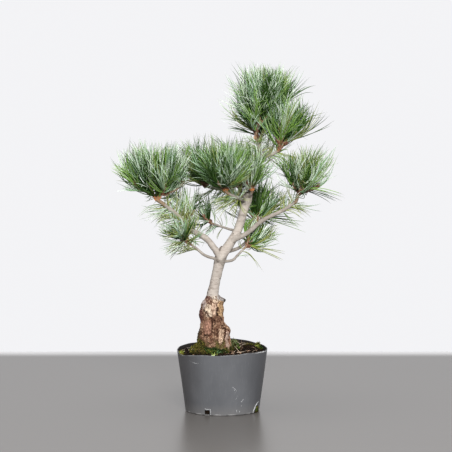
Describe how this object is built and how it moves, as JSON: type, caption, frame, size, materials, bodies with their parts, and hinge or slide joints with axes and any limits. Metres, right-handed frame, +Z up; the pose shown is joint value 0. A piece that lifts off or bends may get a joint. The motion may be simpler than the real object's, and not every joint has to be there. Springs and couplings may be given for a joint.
{
  "type": "japanese white pine bonsai in a round plastic pot",
  "caption": "Small white pine bonsai on a rough grafted stock, with a forked leaning trunk and open pads of long needles, standing in a plain grey tapered pot.",
  "frame": {"origin": "centre of the pot's flat underside", "axes": "+Z up along the pot's axis; -Y is the tree's front, so +X is to the right when it is seen from the front"},
  "size_m": [0.3171, 0.1853, 0.4705],
  "materials": {
    "pot_plastic": "satin",
    "soil": "matte",
    "moss": "matte",
    "bark": "matte",
    "needles": "satin"
  },
  "bodies": {
    "root": {"pot": "pot_plastic", "soil": "soil", "moss_front": "moss", "moss_front_left": "moss", "moss_left": "moss", "moss_right": "moss", "moss_back": "moss", "trunk": "bark", "left_bough": "bark", "left_low_branch": "bark", "left_side_twig": "bark", "right_bough": "bark", "right_low_branch": "bark", "rear_right_branch": "bark", "inner_twig": "bark", "rear_bough": "bark", "middle_bough": "bark", "heart_twig": "bark", "rear_left_bough": "bark", "crown_right_twig": "bark", "apex_twig": "bark", "crown_rear_twig": "bark", "left_pad": "needles", "left_low_tuft": "needles", "left_side_tuft": "needles", "inner_tuft": "needles", "middle_pad": "needles", "heart_pad": "needles", "right_pad": "needles", "right_low_tuft": "needles", "rear_right_tuft": "needles", "rear_left_pad": "needles", "rear_pad": "needles", "crown_left": "needles", "crown_right": "needles", "crown_rear": "needles", "apex_tuft": "needles"}
  },
  "joints": []
}
